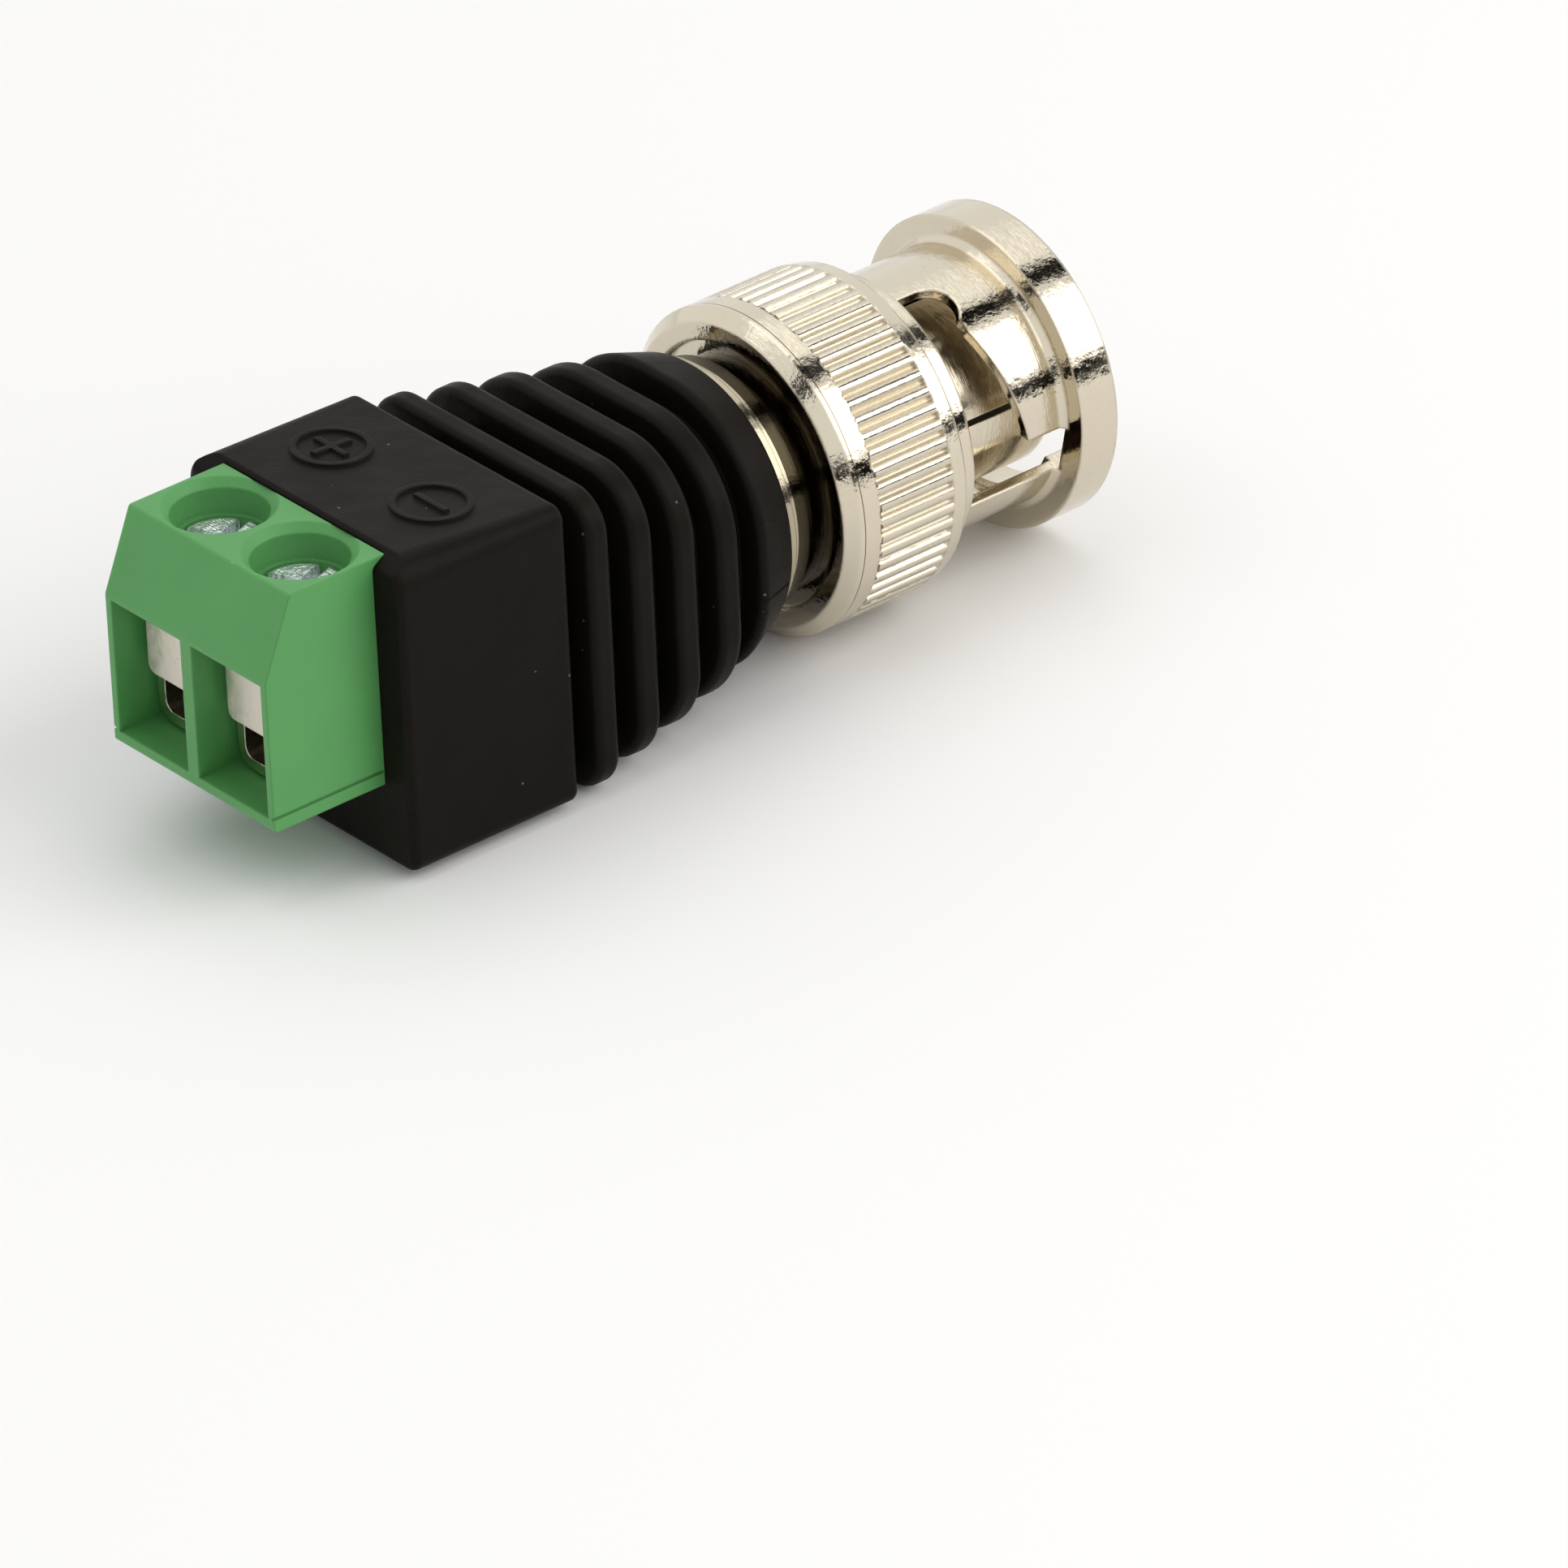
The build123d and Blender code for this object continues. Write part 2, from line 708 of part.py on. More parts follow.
def build():
    """All pieces by name."""
    parts = {}
    parts["terminal_block"] = terminal_block()
    parts["plug_body"] = plug_body()
    parts["outer_contact"] = outer_contact()
    parts["dielectric"] = dielectric()
    parts["centre_pin"] = centre_pin()
    parts["solder_lug"] = solder_lug()
    for pole, y in poles.items():
        parts[f"contact_strip_{pole}"] = contact_strip(y)
        parts[f"lead_wire_{pole}"] = lead_wire(pole)
        parts[f"lead_jacket_{pole}"] = lead_jacket(pole) - parts[f"lead_wire_{pole}"]
    plug = [parts[name] for name in ("plug_body", "dielectric", "centre_pin", "solder_lug")]
    mould = inner_mould()
    pocket = block_outline((x_boot_rear - 1, block_bottom), (x_boot_rear - 1, block_top))
    boot = boot_shell()
    for mark in polarity_marks():
        boot += mark
    for piece in plug + [mould, pocket]:
        boot -= piece
    parts["boot"] = boot
    for piece in [piece for name, piece in parts.items() if name not in ("terminal_block", "boot")]:
        mould -= piece
    parts["inner_mould"] = mould
    for pole, y in poles.items():
        parts[f"clamp_screw_{pole}"] = clamp_screw(y)
        parts[f"clamp_cage_{pole}"] = clamp_cage(y)
    parts["gasket"] = gasket()
    parts["retaining_ring"] = retaining_ring()
    parts["thrust_washer"] = thrust_washer()
    parts["wave_spring"] = wave_spring()
    parts["coupling_nut"] = coupling_nut()
    return parts


os.makedirs("parts", exist_ok=True)
for name, piece in build().items():
    export_step(piece, f"parts/{name}.step")
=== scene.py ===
"""Finishes, small dressings, lamps and camera for the bayonet plug with screw terminals."""
import json
import math
import random

import bmesh
import bpy
from mathutils import Matrix, Vector


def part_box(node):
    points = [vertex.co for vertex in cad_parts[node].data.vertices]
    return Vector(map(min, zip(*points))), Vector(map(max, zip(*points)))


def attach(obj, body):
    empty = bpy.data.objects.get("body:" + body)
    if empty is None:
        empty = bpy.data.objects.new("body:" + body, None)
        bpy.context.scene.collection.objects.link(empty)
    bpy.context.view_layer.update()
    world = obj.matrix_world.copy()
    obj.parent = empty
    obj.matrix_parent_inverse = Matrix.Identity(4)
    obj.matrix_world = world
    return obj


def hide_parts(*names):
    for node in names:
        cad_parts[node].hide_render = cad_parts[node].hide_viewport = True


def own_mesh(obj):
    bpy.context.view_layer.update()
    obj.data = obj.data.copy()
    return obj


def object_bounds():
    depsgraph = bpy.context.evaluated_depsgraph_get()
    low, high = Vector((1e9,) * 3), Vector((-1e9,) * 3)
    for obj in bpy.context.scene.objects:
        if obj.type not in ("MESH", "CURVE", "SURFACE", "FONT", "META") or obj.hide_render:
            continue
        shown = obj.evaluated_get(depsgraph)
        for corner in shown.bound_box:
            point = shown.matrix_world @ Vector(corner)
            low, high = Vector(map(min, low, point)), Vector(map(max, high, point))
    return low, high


MM = 0.001

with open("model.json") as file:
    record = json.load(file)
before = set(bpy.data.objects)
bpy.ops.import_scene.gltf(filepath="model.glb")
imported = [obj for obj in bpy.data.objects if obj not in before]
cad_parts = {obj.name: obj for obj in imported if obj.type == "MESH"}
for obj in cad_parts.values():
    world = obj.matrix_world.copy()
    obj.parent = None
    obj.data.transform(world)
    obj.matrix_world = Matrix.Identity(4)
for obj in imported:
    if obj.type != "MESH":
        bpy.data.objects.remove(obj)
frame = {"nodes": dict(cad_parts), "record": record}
cad_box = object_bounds()
nodes = frame["nodes"]


# Colours, as linear red, green and blue

BOOT_BLACK = (0.0085, 0.0072, 0.006)
BOOT_MOTTLE = ((0.0062, 0.005, 0.0038), (0.0098, 0.0079, 0.0062))
BOOT_DUST = (0.12, 0.11, 0.098)
BLOCK_GREEN = (0.092, 0.33, 0.095)
BLOCK_MOTTLE = ((0.078, 0.295, 0.08), (0.104, 0.35, 0.107))
BLOCK_DUST = (0.30, 0.33, 0.22)
INNER_MOULD = (0.5, 0.48, 0.43)
RED_JACKET = (0.42, 0.03, 0.02)
BLACK_JACKET = (0.02, 0.02, 0.02)
GREY_INSULATOR = (0.46, 0.49, 0.53)
RED_SILICONE = (0.26, 0.025, 0.018)
NICKEL = (0.672, 0.607, 0.485)
CAGE_NICKEL = (0.66, 0.6, 0.5)
# Plug body nickel, darkened as painted shade of the recess between nut and boot
SHADED_BODY_NICKEL = (0.37, 0.31, 0.225)
# The same nickel darkened less, for a band on the hub by the boot
HUB_NICKEL_LESS_SHADED = (0.42, 0.37, 0.27)
# Dark and lighter rings of deeper painted shade over the hub
HUB_SHADE_DARK = (0.03, 0.023, 0.014)
HUB_SHADE_LIGHT = (0.055, 0.045, 0.027)
LINE_BROWN = (0.2, 0.145, 0.09)
SCREW_ZINC = (0.88, 0.91, 0.95)
SCREW_STAIN = (0.5, 0.53, 0.58)
STRIP_TIN = (0.74, 0.68, 0.6)
STRIP_CLEAN = (0.76, 0.70, 0.62)
STRIP_STAIN = (0.37, 0.29, 0.21)
PIN_GOLD = (0.86, 0.50, 0.14)
PIN_BRIGHT = (0.88, 0.53, 0.16)
PIN_DULL = (0.74, 0.40, 0.10)
BRONZE = (0.62, 0.42, 0.22)
BRONZE_STAIN = (0.34, 0.2, 0.1)
FLOOR_WHITE = (0.94, 0.94, 0.94)
FLAG_BLACK = (0.004, 0.004, 0.004)
LAMP_WHITE = (1.0, 0.98, 0.95)

# Marks in the finishes: noise scales per millimetre, noise levels, shares and counts

LATHE_STRETCH = (1.0, 0.02, 0.02)
GRAIN_IN_MOTTLE = 0.35
SINK_IN_MOTTLE = 0.65
DUST_KEPT_ABOVE = 0.55
RIPPLE_SCALE = 2.6
STAIN_SCALE = 5.0
SMUDGE_LEVELS = (0.35, 0.7)
STAIN_LEVELS = (0.62, 0.76)
SPECK_SCALE = 3.2
SPECK_LEVEL = 0.54
# Scale and levels of the rings in the painted shade over the hub
HUB_SHADE_RING_SCALE = 1.1
HUB_SHADE_RING_LEVELS = (0.42, 0.56)
MOTTLE_DARK = 0.82
MOTTLE_PALE = 1.12
STAINED = 0.8
NUT_STAINED = 0.72
BLOCK_GLOW = 0.12
BLOCK_GLOW_METRES = (0.0004, 0.0009, 0.0004)
EDGE_SAMPLES = 6

# Nut and plug body: a count of teeth, places and sizes in millimetres, and crests in depths of ripple

KNURL_TEETH = 60.0
KNURL_MIDDLE = -9.0
KNURL_HALF_LENGTH = 1.9
CREST_IN_RIPPLES = 2.6
NUT_RIPPLE = 0.018
TURNED_LINE = -11.75
TURNED_LINE_WIDTH = 0.05
SPECK_WIDTH = 0.07
HUB_FRONT = -11.6
# Width of the band by the boot that the hub's painted shade leaves out
LESS_SHADED_BAND = 0.75

# Flash on the boot's collar: places and sizes in millimetres, a count, and the share left at its ends

COLLAR_FRONT = -14.75
COLLAR_REAR = -16.55
PARTING_LEVEL = -1.6
PARTING_STEPS = 14
BESIDE_BOOT = 20.0
FLASH_WIDTH = 0.09
FLASH_HEIGHT = 0.045
FLASH_ROOT = 0.03
FLASH_END = 0.2

# Wave spring: counts, sizes in millimetres, and its slit in degrees

SPRING_WAVES = 3
SPRING_STEPS = 120
SPRING_THICKNESS = 0.22
SPRING_WIDTH = 0.5
SPRING_SLIT = 8.0
SPRING_CLEARANCE = 0.01

# Floor, flags, lamps and surroundings: places and sizes in metres, a count, shares and strengths

FLOOR_REACH = 1.5
FLAG_DISTANCE = 0.34
FLAG_REACH = 0.7
FLAG_STEPS = 46
FLAG_RAGGED = (0.72, 1.2)
LAMP_TARGET = Vector((-0.018, 0.0, 0.0))
WHITE_STRENGTH = 1.0
SOFT_STRENGTH = 0.62

# Camera, in degrees, millimetres and pixels of the photograph

CAMERA_AZIMUTH = -38.641
CAMERA_ELEVATION = 30.106
CAMERA_ROLL = -2.65
CAMERA_DEPTH = 653.89
CAMERA_SENSOR = 36.0
PHOTO_MIDDLE = 966.0
PIXELS_PER_MM = 31.203
SIGHTED_POINT = Vector((-34.92, 0.0, 0.0))
SIGHTED_COLUMN = 372.056
SIGHTED_ROW = 823.427


# Shader nodes and shared effects

def new_group(name, inputs, outputs):
    """Empty shader node group with the named sockets."""
    group = bpy.data.node_groups.new(name, "ShaderNodeTree")
    for label, kind, value in inputs:
        socket = group.interface.new_socket(label, in_out="INPUT", socket_type=kind)
        if value is not None:
            socket.default_value = value
    for label, kind in outputs:
        group.interface.new_socket(label, in_out="OUTPUT", socket_type=kind)
    return group, group.nodes.new("NodeGroupInput"), group.nodes.new("NodeGroupOutput")


def math_node(tree, operation, a, b=None):
    """Math node whose inputs are sockets or numbers."""
    node = tree.nodes.new("ShaderNodeMath")
    node.operation = operation
    for i, value in enumerate((a, b)):
        if isinstance(value, bpy.types.NodeSocket):
            tree.links.new(value, node.inputs[i])
        elif value is not None:
            node.inputs[i].default_value = value
    return node.outputs[0]


def noise(tree, vector, scale, detail=3.0, roughness=0.5):
    """Noise value over the given coordinates."""
    node = tree.nodes.new("ShaderNodeTexNoise")
    node.inputs["Detail"].default_value = detail
    node.inputs["Roughness"].default_value = roughness
    tree.links.new(vector, node.inputs["Vector"])
    if isinstance(scale, bpy.types.NodeSocket):
        tree.links.new(scale, node.inputs["Scale"])
    else:
        node.inputs["Scale"].default_value = scale
    return node.outputs["Fac"]


def stretch(tree, vector, scale):
    """Coordinates scaled by a different number on each axis."""
    node = tree.nodes.new("ShaderNodeMapping")
    node.inputs["Scale"].default_value = scale
    tree.links.new(vector, node.inputs["Vector"])
    return node.outputs["Vector"]


def remap(tree, value, low, high, to_low=0.0, to_high=1.0):
    """Value taken from one range to another, held at its ends."""
    node = tree.nodes.new("ShaderNodeMapRange")
    tree.links.new(value, node.inputs["Value"])
    for label, number in (("From Min", low), ("From Max", high), ("To Min", to_low), ("To Max", to_high)):
        node.inputs[label].default_value = number
    return node.outputs["Result"]


def axes(tree, vector):
    """Coordinates along the plug, across it and up."""
    node = tree.nodes.new("ShaderNodeSeparateXYZ")
    tree.links.new(vector, node.inputs[0])
    return node.outputs


def band_mask(tree, along, middle, half_width):
    """One within a band round the axis, nought outside it."""
    away = math_node(tree, "ABSOLUTE", math_node(tree, "SUBTRACT", along, middle))
    return math_node(tree, "LESS_THAN", away, half_width)


def shade_of(colour, share):
    """The same colour at a share of its brightness."""
    return tuple(share * c for c in colour)


def moulded_skin_group():
    """Skin of a moulding: a fine grain over a slow sink, and a mottle for its colour."""
    group, inside, out = new_group(
        "moulded_skin",
        [("Vector", "NodeSocketVector", None), ("Grain Scale", "NodeSocketFloat", 9.0),
         ("Sink Scale", "NodeSocketFloat", 0.5), ("Grain Share", "NodeSocketFloat", 0.3)],
        [("Height", "NodeSocketFloat"), ("Mottle", "NodeSocketFloat")],
    )
    vector = inside.outputs["Vector"]
    grain = noise(group, vector, inside.outputs["Grain Scale"], detail=4.0, roughness=0.6)
    sink = noise(group, vector, inside.outputs["Sink Scale"], detail=1.5, roughness=0.4)
    share = math_node(group, "MULTIPLY", grain, inside.outputs["Grain Share"])
    group.links.new(math_node(group, "ADD", share, sink), out.inputs["Height"])
    fine = math_node(group, "MULTIPLY", grain, GRAIN_IN_MOTTLE)
    slow = math_node(group, "MULTIPLY", sink, SINK_IN_MOTTLE)
    group.links.new(math_node(group, "ADD", fine, slow), out.inputs["Mottle"])
    return group


def dust_group():
    """Sparse small specks of dust and lint."""
    group, inside, out = new_group(
        "dust_specks",
        [("Vector", "NodeSocketVector", None), ("Scale", "NodeSocketFloat", 1.2),
         ("Size", "NodeSocketFloat", 0.05)],
        [("Mask", "NodeSocketFloat")],
    )
    cells = group.nodes.new("ShaderNodeTexVoronoi")
    group.links.new(inside.outputs["Vector"], cells.inputs["Vector"])
    group.links.new(inside.outputs["Scale"], cells.inputs["Scale"])
    near = math_node(group, "LESS_THAN", cells.outputs["Distance"], inside.outputs["Size"])
    parts = group.nodes.new("ShaderNodeSeparateColor")
    group.links.new(cells.outputs["Color"], parts.inputs["Color"])
    chosen = math_node(group, "GREATER_THAN", parts.outputs["Red"], DUST_KEPT_ABOVE)
    group.links.new(math_node(group, "MULTIPLY", near, chosen), out.inputs["Mask"])
    return group


def plating_group():
    """Plated turned metal: lines left round the axis by the tool, smudges and stains."""
    group, inside, out = new_group(
        "turned_plating",
        [("Vector", "NodeSocketVector", None), ("Line Scale", "NodeSocketFloat", 26.0),
         ("Line Share", "NodeSocketFloat", 0.35), ("Smudge Scale", "NodeSocketFloat", 0.9)],
        [("Height", "NodeSocketFloat"), ("Smudge", "NodeSocketFloat"), ("Stain", "NodeSocketFloat")],
    )
    vector = inside.outputs["Vector"]
    turned = stretch(group, vector, LATHE_STRETCH)
    lines = noise(group, turned, inside.outputs["Line Scale"], detail=2.0, roughness=0.5)
    ripple = noise(group, vector, RIPPLE_SCALE, detail=3.0, roughness=0.55)
    faint = math_node(group, "MULTIPLY", lines, inside.outputs["Line Share"])
    group.links.new(math_node(group, "ADD", faint, ripple), out.inputs["Height"])
    smudge = noise(group, vector, inside.outputs["Smudge Scale"], detail=4.0, roughness=0.6)
    group.links.new(remap(group, smudge, *SMUDGE_LEVELS), out.inputs["Smudge"])
    stain = noise(group, vector, STAIN_SCALE, detail=5.0, roughness=0.7)
    group.links.new(remap(group, stain, *STAIN_LEVELS), out.inputs["Stain"])
    return group


MOULDED_SKIN = moulded_skin_group()
DUST = dust_group()
PLATING = plating_group()


# Finishes

class Finish:
    """One material: its shader, and its object coordinates in millimetres."""

    def __init__(self, name, colour, roughness, metallic=0.0):
        self.material = bpy.data.materials.new(name)
        self.material.use_nodes = True
        self.material.diffuse_color = (*colour, 1.0)
        self.tree = self.material.node_tree
        self.shader = self.tree.nodes["Principled BSDF"]
        self.shader.inputs["Base Color"].default_value = (*colour, 1.0)
        self.shader.inputs["Roughness"].default_value = roughness
        self.shader.inputs["Metallic"].default_value = metallic
        place = self.tree.nodes.new("ShaderNodeTexCoord")
        self.mm = stretch(self.tree, place.outputs["Object"], (1 / MM, 1 / MM, 1 / MM))

    def effect(self, group, **values):
        """A shared effect laid over the object's own coordinates."""
        node = self.tree.nodes.new("ShaderNodeGroup")
        node.node_tree = group
        self.tree.links.new(self.mm, node.inputs["Vector"])
        for label, value in values.items():
            node.inputs[label.replace("_", " ")].default_value = value
        return node.outputs

    def mix(self, mask, first, second):
        """Colour that goes from first to second with the mask."""
        node = self.tree.nodes.new("ShaderNodeMix")
        node.data_type = "RGBA"
        self.tree.links.new(mask, node.inputs["Factor"])
        for label, value in (("A", first), ("B", second)):
            pick = [s for s in node.inputs if s.name == label and s.type == "RGBA"][0]
            if isinstance(value, bpy.types.NodeSocket):
                self.tree.links.new(value, pick)
            else:
                pick.default_value = (*value, 1.0)
        return [s for s in node.outputs if s.type == "RGBA"][0]

    def colour(self, socket):
        """Colour taken from a socket."""
        self.tree.links.new(socket, self.shader.inputs["Base Color"])

    def roughness(self, socket, low, high):
        """Roughness that goes from low to high with a mask."""
        spread = remap(self.tree, socket, 0.0, 1.0, low, high)
        self.tree.links.new(spread, self.shader.inputs["Roughness"])

    def relief(self, height, depth, edge=0.0):
        """Bump of a depth in millimetres, over edges rounded by a radius in millimetres."""
        bump = self.tree.nodes.new("ShaderNodeBump")
        bump.inputs["Distance"].default_value = depth * MM
        self.tree.links.new(height, bump.inputs["Height"])
        if edge:
            bevel = self.tree.nodes.new("ShaderNodeBevel")
            bevel.samples = EDGE_SAMPLES
            bevel.inputs["Radius"].default_value = edge * MM
            self.tree.links.new(bevel.outputs["Normal"], bump.inputs["Normal"])
        self.tree.links.new(bump.outputs["Normal"], self.shader.inputs["Normal"])


def black_boot_pvc():
    """Warm black moulding, satin, with dust on it."""
    finish = Finish("black_boot_pvc", BOOT_BLACK, roughness=0.42)
    skin = finish.effect(MOULDED_SKIN, Grain_Scale=7.0, Sink_Scale=0.45, Grain_Share=0.16)
    dust = finish.effect(DUST, Scale=0.75, Size=0.045)
    shade = finish.mix(skin["Mottle"], *BOOT_MOTTLE)
    finish.colour(finish.mix(dust["Mask"], shade, BOOT_DUST))
    finish.roughness(skin["Mottle"], low=0.36, high=0.52)
    finish.relief(skin["Height"], depth=0.09, edge=0.16)
    finish.shader.inputs["Specular IOR Level"].default_value = 0.06
    return finish.material


def green_block_nylon():
    """Mid green moulding, satin, with light that strays a little way in."""
    finish = Finish("green_block_nylon", BLOCK_GREEN, roughness=0.42)
    skin = finish.effect(MOULDED_SKIN, Grain_Scale=5.0, Sink_Scale=0.35, Grain_Share=0.2)
    dust = finish.effect(DUST, Scale=0.6, Size=0.035)
    shade = finish.mix(skin["Mottle"], *BLOCK_MOTTLE)
    finish.colour(finish.mix(dust["Mask"], shade, BLOCK_DUST))
    finish.roughness(skin["Mottle"], low=0.36, high=0.5)
    finish.relief(skin["Height"], depth=0.07, edge=0.14)
    finish.shader.inputs["Specular IOR Level"].default_value = 0.35
    finish.shader.inputs["Subsurface Weight"].default_value = BLOCK_GLOW
    finish.shader.inputs["Subsurface Radius"].default_value = BLOCK_GLOW_METRES
    finish.shader.inputs["Subsurface Scale"].default_value = 1.0
    return finish.material


def bright_nickel(name, colour, roughness, line_share, edge, ripple=0.012):
    """Nickel plate over turned brass, with smudges and small stains."""
    finish = Finish(name, colour, roughness, metallic=1.0)
    plate = finish.effect(PLATING, Line_Share=line_share)
    finish.colour(finish.mix(plate["Stain"], colour, shade_of(colour, STAINED)))
    finish.roughness(plate["Smudge"], low=roughness * 0.75, high=roughness * 1.6)
    finish.relief(plate["Height"], ripple, edge)
    return finish.material


def knurled_nickel():
    """Nickel of the nut: rounded knurl crests, a turned line behind them and dark specks at their edge."""
    finish = Finish("nut_nickel", NICKEL, roughness=0.09, metallic=1.0)
    tree = finish.tree
    plate = finish.effect(PLATING, Line_Share=0.3)
    along, across, up = axes(tree, finish.mm)
    turn = math_node(tree, "MULTIPLY", math_node(tree, "ARCTAN2", up, across), KNURL_TEETH)
    crest = math_node(tree, "MULTIPLY", math_node(tree, "COSINE", turn), CREST_IN_RIPPLES)
    crest = math_node(tree, "MULTIPLY", crest, band_mask(tree, along, KNURL_MIDDLE, KNURL_HALF_LENGTH))
    line = band_mask(tree, along, TURNED_LINE, TURNED_LINE_WIDTH / 2)
    edge = band_mask(tree, along, KNURL_MIDDLE - KNURL_HALF_LENGTH, SPECK_WIDTH)
    crumbs = math_node(tree, "GREATER_THAN", noise(tree, finish.mm, SPECK_SCALE), SPECK_LEVEL)
    speck = math_node(tree, "MULTIPLY", edge, crumbs)
    height = math_node(tree, "ADD", plate["Height"], crest)
    height = math_node(tree, "SUBTRACT", height, line)
    shade = finish.mix(plate["Stain"], NICKEL, shade_of(NICKEL, NUT_STAINED))
    finish.colour(finish.mix(math_node(tree, "MAXIMUM", line, speck), shade, LINE_BROWN))
    finish.roughness(plate["Smudge"], low=0.06, high=0.15)
    finish.relief(height, depth=NUT_RIPPLE, edge=0.2)
    return finish.material


def plug_nickel():
    """Duller nickel of the plug body, its colour darkened as painted shade of the recess between nut and
    boot, with deeper painted shade in rings over its hub and a band by the boot darkened less.
    """
    finish = Finish("body_nickel", SHADED_BODY_NICKEL, roughness=0.14, metallic=1.0)
    tree = finish.tree
    plate = finish.effect(PLATING, Line_Share=0.5)
    along = axes(tree, finish.mm)[0]
    hub = math_node(tree, "LESS_THAN", along, HUB_FRONT)
    # Painted shade over the hub, from the band by the boot to the hub's front, in darker and lighter rings
    shade_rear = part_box("boot")[1][0] / MM + LESS_SHADED_BAND
    shaded_hub = math_node(tree, "MULTIPLY", hub, math_node(tree, "GREATER_THAN", along, shade_rear))
    turned = stretch(tree, finish.mm, LATHE_STRETCH)
    shade_rings = remap(tree, noise(tree, turned, HUB_SHADE_RING_SCALE, detail=2.0), *HUB_SHADE_RING_LEVELS)
    # Real stains over the body nickel, which is darkened as painted shade; the band by the boot takes the
    # nickel darkened less
    shade = finish.mix(plate["Stain"], SHADED_BODY_NICKEL, shade_of(SHADED_BODY_NICKEL, STAINED))
    shade = finish.mix(hub, shade, HUB_NICKEL_LESS_SHADED)
    finish.colour(finish.mix(shaded_hub, shade, finish.mix(shade_rings, HUB_SHADE_LIGHT, HUB_SHADE_DARK)))
    finish.roughness(plate["Smudge"], low=0.105, high=0.224)
    finish.relief(plate["Height"], depth=0.012, edge=0.06)
    return finish.material


def zinc_screw():
    """Bluish zinc plate on the clamping screws."""
    finish = Finish("zinc_screw", SCREW_ZINC, roughness=0.22, metallic=0.75)
    plate = finish.effect(PLATING, Line_Scale=12.0, Line_Share=0.5, Smudge_Scale=2.5)
    finish.colour(finish.mix(plate["Stain"], SCREW_ZINC, SCREW_STAIN))
    finish.roughness(plate["Smudge"], low=0.14, high=0.36)
    finish.relief(plate["Height"], depth=0.14, edge=0.08)
    return finish.material


def tinned_strip():
    """Matt cream tin plate on the contact strips, lug and wires."""
    finish = Finish("tinned_strip", STRIP_TIN, roughness=0.48, metallic=1.0)
    plate = finish.effect(PLATING, Line_Scale=6.0, Line_Share=0.2, Smudge_Scale=1.6)
    finish.colour(finish.mix(plate["Stain"], STRIP_CLEAN, STRIP_STAIN))
    finish.roughness(plate["Smudge"], low=0.42, high=0.6)
    finish.relief(plate["Height"], depth=0.02, edge=0.06)
    return finish.material


def gold_pin():
    """Gold plate on the centre pin."""
    finish = Finish("gold_pin", PIN_GOLD, roughness=0.2, metallic=1.0)
    plate = finish.effect(PLATING, Line_Scale=30.0, Line_Share=0.6)
    finish.colour(finish.mix(plate["Smudge"], PIN_BRIGHT, PIN_DULL))
    finish.roughness(plate["Smudge"], low=0.16, high=0.3)
    finish.relief(plate["Height"], depth=0.01)
    return finish.material


def plain_moulding(name, colour, roughness):
    """Small moulding or rubber ring with a light mottle."""
    finish = Finish(name, colour, roughness)
    skin = finish.effect(MOULDED_SKIN, Grain_Scale=6.0)
    finish.colour(finish.mix(skin["Mottle"], shade_of(colour, MOTTLE_DARK), shade_of(colour, MOTTLE_PALE)))
    finish.roughness(skin["Mottle"], low=roughness * 0.85, high=roughness * 1.15)
    finish.relief(skin["Height"], depth=0.04, edge=0.05)
    return finish.material


def spring_bronze():
    """Plain bronze of the spring, washer and ring inside the nut."""
    finish = Finish("spring_bronze", BRONZE, roughness=0.3, metallic=1.0)
    plate = finish.effect(PLATING, Line_Scale=14.0)
    finish.colour(finish.mix(plate["Stain"], BRONZE, BRONZE_STAIN))
    finish.roughness(plate["Smudge"], low=0.25, high=0.45)
    finish.relief(plate["Height"], depth=0.015)
    return finish.material


finishes = {
    "boot_pvc": black_boot_pvc(),
    "inner_mould": plain_moulding("inner_mould", INNER_MOULD, roughness=0.5),
    "block_green": green_block_nylon(),
    "screw_zinc": zinc_screw(),
    "cage_nickel": bright_nickel(
        "cage_nickel", CAGE_NICKEL, roughness=0.16, line_share=0.2, edge=0.08, ripple=0.03,
    ),
    "strip_tin": tinned_strip(),
    "wire_tinned": tinned_strip(),
    "jacket_red": plain_moulding("red_jacket", RED_JACKET, roughness=0.4),
    "jacket_black": plain_moulding("black_jacket", BLACK_JACKET, roughness=0.4),
    "body_nickel": plug_nickel(),
    "contact_nickel": bright_nickel("contact_nickel", NICKEL, roughness=0.13, line_share=0.6, edge=0.06),
    "insulator": plain_moulding("grey_insulator", GREY_INSULATOR, roughness=0.45),
    "pin_gold": gold_pin(),
    "silicone_red": plain_moulding("red_silicone", RED_SILICONE, roughness=0.5),
    "spring_bronze": spring_bronze(),
    "nut_nickel": knurled_nickel(),
}
slots = {part["node"]: part["material_slot"] for part in frame["record"]["subparts"]}
for name, node in nodes.items():
    node.data.materials.clear()
    node.data.materials.append(finishes[slots[name]])


# Dressings that the solids leave out

def put_in_scene(name, data):
    """New object that holds a mesh, a lamp or a lens."""
    piece = bpy.data.objects.new(name, data)
    bpy.context.scene.collection.objects.link(piece)
    return piece


def mesh_piece(name, build, body, slot):
    """New piece from a bmesh, in millimetres, riding on a body in the finish of a slot."""
    mesh = bpy.data.meshes.new(name)
    shape = bmesh.new()
    build(shape)
    bmesh.ops.scale(shape, vec=(MM, MM, MM), verts=shape.verts)
    bmesh.ops.recalc_face_normals(shape, faces=shape.faces)
    shape.to_mesh(mesh)
    shape.free()
    piece = put_in_scene(name, mesh)
    mesh.materials.append(finishes[slot])
    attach(piece, body)
    return piece


